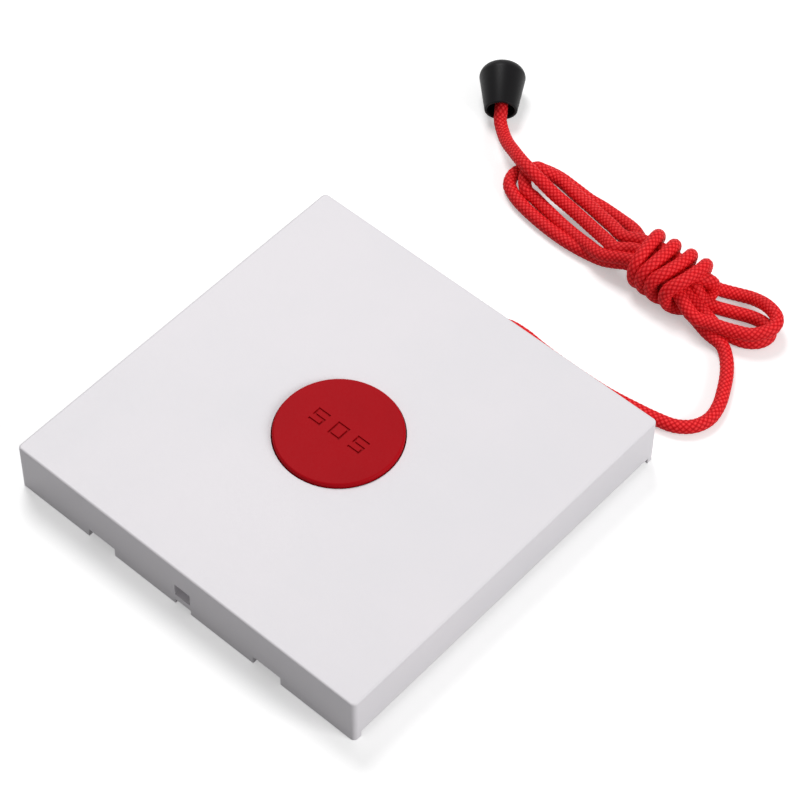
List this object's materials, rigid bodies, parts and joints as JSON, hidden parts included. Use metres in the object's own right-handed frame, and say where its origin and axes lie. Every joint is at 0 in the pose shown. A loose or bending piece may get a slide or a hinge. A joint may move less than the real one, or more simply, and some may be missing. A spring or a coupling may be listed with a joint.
{
  "type": "wall emergency button",
  "caption": "Square wall plate with a round push button that calls for help, and a pull cord tied in a hank that works a second switch and ends in a bell.",
  "frame": {"origin": "centre of the plate's back face, where it meets the wall", "axes": "+Z out of the face, away from the wall; +Y up the wall, towards the latch window; the cord leaves at -Y"},
  "size_m": [0.0927, 0.1435, 0.0127],
  "materials": {
    "cover_white": "fine satin moulded",
    "plate_white": "satin moulded",
    "button_red": "fine matt moulded",
    "cord_red": "braided",
    "bell_black": "satin moulded",
    "slide_grey": "satin moulded",
    "board_green": "lacquered",
    "switch_black": "matt moulded",
    "spring_steel": "drawn",
    "cell_steel": "nickel plated",
    "led_clear": "clear cast"
  },
  "bodies": {
    "rear": {"base_plate": "plate_white", "circuit_board": "board_green", "board_screw_1": "spring_steel", "board_screw_2": "spring_steel", "board_screw_3": "spring_steel", "board_screw_4": "spring_steel", "call_switch_body": "switch_black", "button_spring": "spring_steel", "slider_spring": "spring_steel", "pull_switch_body": "switch_black", "cord_bush": "plate_white", "coin_cell": "cell_steel", "cell_holder": "switch_black", "cell_clip": "spring_steel", "cell_contact": "spring_steel", "radio_board": "board_green", "radio_shield": "cell_steel", "antenna_spring": "spring_steel", "control_chip": "switch_black", "crystal_can": "cell_steel", "status_led": "led_clear"},
    "cover": {"front_cover": "cover_white"},
    "button": {"button_cap": "button_red"},
    "call_plunger": {"call_switch_plunger": "switch_black"},
    "pull": {"pull_slider": "slide_grey", "cord_knot": "cord_red", "cord_inner": "cord_red", "cord_lead": "cord_red", "cord_hank": "cord_red", "cord_tail": "cord_red", "bell_end": "bell_black"},
    "pull_plunger": {"pull_switch_plunger": "slide_grey"}
  },
  "joints": [
    {"name": "cover_lift", "type": "slide", "parent": "rear", "child": "cover", "axis": [0, 0, 1], "range_m": [0, 0.016]},
    {"name": "button_press", "type": "slide", "parent": "cover", "child": "button", "axis": [0, 0, -1], "range_m": [0, 0.0008], "stiffness_N_per_m": 1500, "springref_m": -0.001, "deforming": ["button_spring"]},
    {"name": "call_plunger_press", "type": "slide", "parent": "rear", "child": "call_plunger", "axis": [0, 0, -1], "range_m": [0, 0.0008]},
    {"name": "cord_pull", "type": "slide", "parent": "rear", "child": "pull", "axis": [0, -1, 0], "range_m": [0, 0.003], "stiffness_N_per_m": 800, "springref_m": -0.003, "deforming": ["slider_spring"]},
    {"name": "pull_plunger_press", "type": "slide", "parent": "rear", "child": "pull_plunger", "axis": [1, 0, 0], "range_m": [0, 0.0006]}
  ],
  "couplings": [
    {"joint": "call_plunger_press", "follows": "button_press", "ratio": 1},
    {"joint": "pull_plunger_press", "follows": "cord_pull", "ratio": 0.2}
  ]
}
